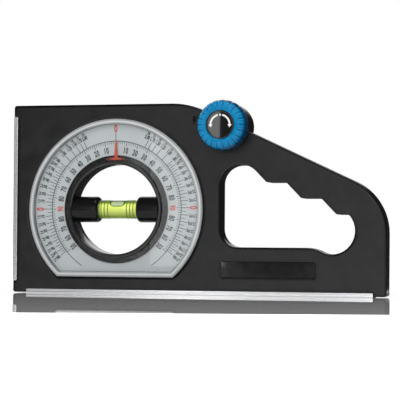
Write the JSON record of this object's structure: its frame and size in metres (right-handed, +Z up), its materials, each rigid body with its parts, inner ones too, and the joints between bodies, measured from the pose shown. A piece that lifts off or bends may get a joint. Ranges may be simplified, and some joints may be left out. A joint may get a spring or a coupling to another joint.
{
  "type": "inclinometer",
  "caption": "Hand-held inclinometer: a knob turns a geared vial ring with a pointer in a fixed dial, in a slim body with a hand hole and two metal rails.",
  "frame": {"origin": "middle of the base, at the outer face of the bottom rail, half way between the knob's crest and the vial ring's rear end", "axes": "+X along the base from the dial to the nose, +Y from the dial side to the back, +Z up from the base"},
  "size_m": [0.22, 0.029, 0.1108],
  "materials": {
    "shell": "fine satin moulded",
    "rail": "drawn and polished",
    "steel": "plain",
    "dial": "printed satin",
    "cover": "clear moulded",
    "plate": "gloss",
    "spring_brass": "plain",
    "ring": "satin",
    "gear": "natural",
    "pointer": "satin paint",
    "cap": "gloss",
    "vial_glass": "clear",
    "liquid": "clear yellow-green",
    "bubble": "clear",
    "knob": "semi-gloss"
  },
  "bodies": {
    "case": {"front_shell": "shell", "rear_shell": "shell", "bottom_rail": "rail", "side_rail": "rail", "shell_screws": "steel", "dial_plate": "dial", "dial_cover": "cover", "nameplate": "plate", "idler_pin": "steel", "friction_washer": "spring_brass"},
    "ring": {"vial_ring": "ring", "rear_ring": "ring", "ring_gear": "gear", "collar_screws": "steel", "pointer": "pointer", "left_cap": "cap", "right_cap": "cap", "vial_tube": "vial_glass", "vial_liquid": "liquid", "vial_plugs": "gear"},
    "bubble": {"bubble": "bubble"},
    "idler": {"idler_gear": "gear"},
    "knob": {"knob_grip": "knob", "knob_disc": "plate", "knob_screw": "steel", "knob_shaft": "steel", "knob_pinion": "gear"}
  },
  "joints": [
    {"name": "ring_spin", "type": "hinge", "parent": "case", "child": "ring", "pos_m": [-0.0476, 0.0069, 0.0489], "axis": [0, 1, 0], "range_deg": [-150, 150]},
    {"name": "idler_spin", "type": "hinge", "parent": "case", "child": "idler", "pos_m": [-0.00212, 0.0075, 0.08158], "axis": [0, 1, 0], "range_deg": [-375, 375]},
    {"name": "knob_spin", "type": "hinge", "parent": "case", "child": "knob", "pos_m": [0.01818, 0.0028, 0.09617], "axis": [0, 1, 0], "range_deg": [-667, 667]},
    {"name": "bubble_run", "type": "slide", "parent": "ring", "child": "bubble", "axis": [1, 0, 0], "range_m": [-0.006, 0.006], "stiffness_N_per_m": 0.4}
  ],
  "couplings": [
    {"joint": "idler_spin", "follows": "ring_spin", "ratio": -2.5},
    {"joint": "knob_spin", "follows": "ring_spin", "ratio": 4.4444}
  ]
}
